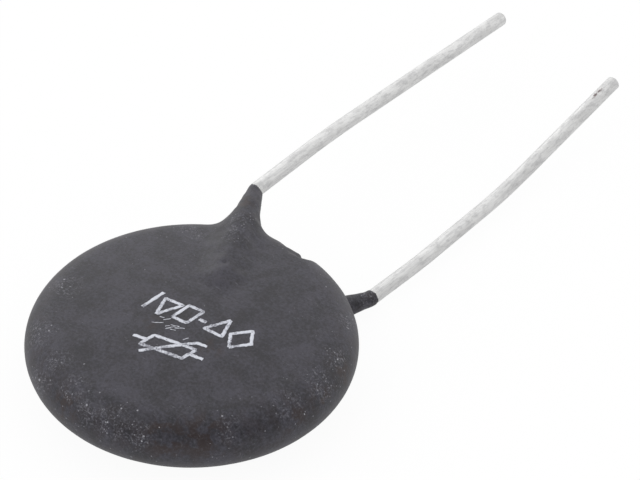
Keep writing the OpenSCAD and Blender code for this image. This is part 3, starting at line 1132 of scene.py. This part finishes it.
@dataclass
class FaceMarking:
    """Generic white print on the front face: a resistor symbol and a row of plain shapes.

    Attributes:
        skin: The dipped skin that the print lies on.
        shape: Sizes shared with the CAD source.
        finish: The ink.
        stroke: Width of a stroke.
        hair: Width of a smudged hairline, as a share of a stroke's.
        ink_height: Height of the ink over the skin.
        smear: How far the strokes' edges stray.
        step: Length of a piece of a stroke.
        probe_height: Height over the disc's middle from which the skin is felt for.
        symbol_from: Left end of the symbol, read with the leads pointing down.
        symbol_to: Right end of the symbol.
        row_from: Left end of the row of plain shapes.
        row_to: Right end of that row.
        height: Height of a row.
        breadth: Half breadth of a shape, as a share of its row's length.
        smudge_count: Number of smudged hairlines.
        smudge_seed: Seed of their places.
    """

    skin: bpy.types.Object
    shape: DiscShape
    finish: InkFinish
    stroke: float = 0.23
    hair: float = 0.22
    ink_height: float = 0.018
    smear: float = 0.14
    step: float = 0.08
    probe_height: float = 8.0
    symbol_from: Spot = (3.55, -3.15)
    symbol_to: Spot = (-1.35, -4.15)
    row_from: Spot = (4.98, -0.10)
    row_to: Spot = (-2.93, -0.86)
    height: float = 2.15
    breadth: float = 0.098
    smudge_count: int = 11
    smudge_seed: int = 7

    def row_point(self, start: Spot, end: Spot, along: float, up: float) -> Point:
        """Returns a point of a row.

        Args:
            start: Left end of the row's middle line.
            end: Right end of it.
            along: Distance along the row from its left end, as a share of its length.
            up: Height over the middle line, as a share of the row's height.

        Returns:
            The point on the face, about the disc's middle.
        """
        dx, dy = end[0] - start[0], end[1] - start[1]
        length = math.hypot(dx, dy)
        rise = self.height * up
        across = (dy / length * rise, dx / length * rise)
        return (start[0] + dx * along + across[0], start[1] + dy * along + across[1], 0.0)

    def symbol(self) -> list[list[Point]]:
        """Returns the strokes of a box with a lead at each end and a slanted stroke through it."""

        def at(along: float, up: float) -> Point:
            """Returns a point of the symbol's row."""
            return self.row_point(self.symbol_from, self.symbol_to, along, up)

        return [
            [at(0.2, -0.27), at(0.8, -0.27), at(0.8, 0.27), at(0.2, 0.27), at(0.2, -0.27)],
            [at(0.0, 0.0), at(0.2, 0.0)],
            [at(0.8, 0.0), at(1.0, 0.0)],
            [at(0.16, -0.56), at(0.3, -0.56), at(0.7, 0.56)],
        ]

    def row(self) -> list[list[Point]]:
        """Returns a row of plain shapes: a diamond, two triangles, a square and two bars."""

        def at(along: float, up: float) -> Point:
            """Returns a point of the row."""
            return self.row_point(self.row_from, self.row_to, along, up)

        def ring(mid: float, corners: int, turn: float) -> list[Point]:
            """Returns the outline of an even shape with its middle on the row."""
            angles = [math.radians(turn + 360.0 * i / corners) for i in range(corners + 1)]
            return [at(mid + self.breadth * math.sin(a), 0.5 * math.cos(a)) for a in angles]

        return [
            ring(0.10, 4, 0.0),
            ring(0.31, 3, 180.0),
            [at(0.43, 0.0), at(0.50, 0.0)],
            ring(0.61, 4, 45.0),
            ring(0.80, 3, 0.0),
            [at(0.95, -0.45), at(0.95, 0.45)],
        ]

    def smudges(self) -> list[list[Point]]:
        """Returns a few hairlines of ink dragged between the symbol and the row."""
        spread = random.Random(self.smudge_seed)
        strokes = []
        for _ in range(self.smudge_count):
            x, y = spread.uniform(-0.9, 1.7), spread.uniform(-2.3, -1.0)
            turn, length = math.radians(spread.uniform(195.0, 250.0)), spread.uniform(0.25, 0.9)
            end = (x + length * math.cos(turn), y + length * math.sin(turn), 0.0)
            strokes.append([(x, y, 0.0), end])
        return strokes

    def build(self) -> bpy.types.Object:
        """Builds the print as thin strips laid on the skin and returns it."""
        shape = self.shape
        whole, hairs = self.symbol() + self.row(), self.smudges()
        nibs = [1.0] * sum(map(len, whole)) + [self.hair] * sum(map(len, hairs))
        source = polyline("marking_strokes", whole + hairs, {"nib": nibs})
        sizes: dict[str, float | int | Point] = {
            "Stroke Width": self.stroke * MM,
            "Ink Height": self.ink_height * MM,
            "Probe Height": self.probe_height * MM,
            "Step": self.step * MM,
            "Middle": tuple(shape.middle() * MM),
        }
        recipe = GeometryRecipe("printed strokes", sizes, self.finish.material())
        graph, inputs = recipe.graph, recipe.inputs
        curve = graph.first("GeometryNodeMeshToCurve", {"Mesh": inputs["Geometry"]})
        fine = graph.add("GeometryNodeResampleCurve", {"Curve": curve}, mode="LENGTH")
        graph.feed(fine.inputs["Length"], inputs["Step"])
        line = {"Curve": fine.outputs[0]}
        level = graph.first("GeometryNodeSetCurveNormal", line, mode="Z_UP")
        size = {"Width": inputs["Stroke Width"], "Height": graph.times(inputs["Ink Height"], 2.0)}
        nib = graph.first("GeometryNodeCurvePrimitiveQuadrilateral", size)
        sweep = {"Profile Curve": nib, "Scale": recipe.attribute("nib"), "Fill Caps": True}
        strips = graph.first("GeometryNodeCurveToMesh", {"Curve": level} | sweep)
        place = graph.scaled(graph.first("GeometryNodeInputPosition"), 1.0 / MM)
        smear = graph.join(graph.noise(place, 4.0, 1.0), graph.noise(place, 4.7, 1.0), 0.5)
        shifted = graph.scaled(graph.vector("SUBTRACT", smear, (0.5, 0.5, 0.5)), self.smear * MM)
        smeared = graph.first("GeometryNodeSetPosition", {"Geometry": strips, "Offset": shifted})
        placed = recipe.placed(smeared)
        here = graph.first("GeometryNodeInputPosition")
        skin = graph.add("GeometryNodeObjectInfo", {"Object": self.skin}).outputs["Geometry"]
        above = graph.vector("ADD", here, graph.join(0.0, 0.0, inputs["Probe Height"]))
        ray = {"Target Geometry": skin, "Source Position": above, "Ray Direction": (0.0, 0.0, -1.0)}
        hit = graph.add("GeometryNodeRaycast", ray).outputs["Hit Position"]
        rise = graph.minus(graph.split(hit)[2], graph.split(inputs["Middle"])[2])
        lift = graph.join(0.0, 0.0, rise)
        recipe.finish(graph.first("GeometryNodeSetPosition", {"Geometry": placed, "Offset": lift}))
        marking = recipe.run(source, "face_marking")
        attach(marking, BODY)
        return marking


@dataclass
class InnerParts:
    """The ceramic disc, its electrodes and its solder joints, which keep their CAD solids.

    Attributes:
        ceramic: Finish of the ceramic.
        silver: Finish of the electrodes.
        solder: Finish of the solder joints.
    """

    ceramic: HiddenPartFinish = HiddenPartFinish()
    silver: HiddenPartFinish = HiddenPartFinish(
        "fired_electrode", (0.78, 0.77, 0.74), (0.66, 0.65, 0.62), True, 0.42, 2.0
    )
    solder: HiddenPartFinish = HiddenPartFinish(
        "solder_joint", (0.60, 0.60, 0.60), (0.46, 0.46, 0.47), True, 0.36, 1.5
    )

    def dress(self, nodes: dict[str, bpy.types.Object]) -> list[str]:
        """Gives each inner node its finish.

        Args:
            nodes: The CAD nodes by name.

        Returns:
            The names of the nodes that were dressed.
        """
        finishes = {"ceramic_disc": self.ceramic}
        for side in ("front", "rear"):
            finishes |= {f"{side}_electrode": self.silver, f"{side}_solder": self.solder}
        for name, finish in finishes.items():
            for slot in nodes[name].material_slots:
                slot.material = finish.material()
        return sorted(finishes)


@dataclass
class Studio:
    """Pale floor, soft lights and the camera at the photograph's viewing angle.

    Attributes:
        azimuth: Turn of the camera round the part, in degrees.
        elevation: Height of the camera over the floor, in degrees.
        roll: Turn of the camera about its own axis, in degrees.
        distance: Distance of the camera from the disc's middle, along its axis.
        focal: Focal length in pixels of the photograph's frame.
        aside: Shift of the camera to its right.
        above: Shift of the camera upwards.
        floor_reach: Half width of the floor.
        daylight: Strength of the world's light on surfaces.
        overhead: Share of the white surround that gloss shows straight overhead.
        behind_camera: Share of it that gloss shows behind the camera.
    """

    azimuth: float = 37.092
    elevation: float = 39.234
    roll: float = 1.503
    distance: float = 200.0
    focal: float = 3110.2
    aside: float = 8.232
    above: float = 6.55
    floor_reach: float = 900.0
    daylight: float = 0.85
    overhead: float = 0.92
    behind_camera: float = 0.22

    def build(self, middle: Vector) -> None:
        """Builds the stage round the part.

        Args:
            middle: The disc's middle in Blender's frame, in millimetres.
        """
        self.floor()
        self.world()
        self.lamp("key_light", (-460.0, 260.0, 240.0), size=340.0, power=0.16, middle=middle)
        self.lamp("fill_light", (-160.0, -420.0, 380.0), size=420.0, power=0.36, middle=middle)
        self.camera(middle)
        bpy.context.scene.view_settings.view_transform = "Standard"

    def floor(self) -> None:
        """Lays the floor under the part."""
        r = self.floor_reach * MM
        mesh = bpy.data.meshes.new("floor")
        mesh.from_pydata([(-r, -r, 0.0), (r, -r, 0.0), (r, r, 0.0), (-r, r, 0.0)], [], [(0, 1, 2, 3)])
        mesh.materials.append(PaleFloorFinish().material())
        floor = bpy.data.objects.new("floor", mesh)
        bpy.context.scene.collection.objects.link(floor)

    def world(self) -> None:
        """Sets a white surround that lights softly, which gloss sees dimmer overhead and in front."""
        world = bpy.data.worlds.new("pale surround")
        world.use_nodes = True
        world.node_tree.nodes.clear()
        graph = Graph(world.node_tree)
        rays = graph.add("ShaderNodeLightPath").outputs
        x, y, z = graph.split(graph.add("ShaderNodeTexCoord").outputs["Object"])
        a = math.radians(self.azimuth)
        front = graph.minus(graph.times(x, math.sin(a)), graph.times(y, math.cos(a)))
        dimmed = graph.times(
            graph.ramp(z, 0.55, 1.0, 1.0, self.overhead),
            graph.ramp(front, -0.2, 0.65, 1.0, self.behind_camera),
        )
        strength = graph.blend(rays["Is Glossy Ray"], self.daylight, dimmed)
        plain = graph.most(rays["Is Camera Ray"], rays["Is Transmission Ray"])
        strength = graph.blend(plain, strength, 1.0)
        white = graph.first("ShaderNodeBackground", {"Color": (1.0, 1.0, 1.0), "Strength": strength})
        graph.add("ShaderNodeOutputWorld", {"Surface": white})
        bpy.context.scene.world = world

    @staticmethod
    def lamp(name: str, place: Point, size: float, power: float, middle: Vector) -> None:
        """Hangs a square soft light that faces the part.

        Args:
            name: The lamp's name.
            place: Its place about the disc's middle.
            size: Its width.
            power: Its power in watts.
            middle: The disc's middle, in millimetres.
        """
        data = bpy.data.lights.new(name, "AREA")
        data.size = size * MM
        data.energy = power
        lamp = bpy.data.objects.new(name, data)
        spot = Vector(place)
        lamp.location = (middle + spot) * MM
        lamp.rotation_euler = (-spot).to_track_quat("-Z", "Y").to_euler()
        bpy.context.scene.collection.objects.link(lamp)

    def camera(self, middle: Vector) -> None:
        """Sets the camera.

        Args:
            middle: The disc's middle in Blender's frame, in millimetres.
        """
        a, e, r = (math.radians(v) for v in (self.azimuth, self.elevation, self.roll))
        back = Vector((math.sin(a) * math.cos(e), -math.cos(a) * math.cos(e), math.sin(e)))
        level = Vector((math.cos(a), math.sin(a), 0.0))
        upright = back.cross(level)
        right = math.cos(r) * level + math.sin(r) * upright
        up = -math.sin(r) * level + math.cos(r) * upright
        data = bpy.data.cameras.new("portrait_camera")
        data.sensor_width = 36.0
        data.lens = self.focal / PHOTO_WIDTH * data.sensor_width
        data.clip_start, data.clip_end = 0.01, 10.0
        camera = bpy.data.objects.new("portrait_camera", data)
        place = (middle + back * self.distance + right * self.aside + up * self.above) * MM
        turn = Matrix((right, up, back)).transposed().to_4x4()
        camera.matrix_world = Matrix.Translation(place) @ turn
        bpy.context.scene.collection.objects.link(camera)
        bpy.context.scene.camera = camera


def report(piece: bpy.types.Object) -> None:
    """Logs a finished piece and its number of triangles."""
    triangles = sum(len(p.vertices) - 2 for p in piece.data.polygons)
    LOG.info("%s: %d triangles", piece.name, triangles)


def main() -> None:
    """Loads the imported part, dresses it and sets up the studio."""
    logging.basicConfig(level=logging.INFO, format="%(name)s: %(message)s", stream=sys.stdout)
    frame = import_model()

    shape = DiscShape()
    middle = shape.middle()
    skin = DippedSkin(shape, ResinFinish(middle=tuple(middle))).build()
    report(skin)
    wire = TinnedWireFinish(middle=tuple(middle))
    report(TinnedLead(Side.FRONT, shape, wire, run=5.0, bend_radius=80.0, bend=4.0).build())
    report(TinnedLead(Side.REAR, shape, wire, run=12.0, bend_radius=40.0, bend=8.0).build())
    report(FaceMarking(skin, shape, InkFinish()).build())
    LOG.info("inner parts dressed: %s", ", ".join(InnerParts().dress(frame["nodes"])))
    Studio().build(middle)


if __name__ == "__main__":
    main()
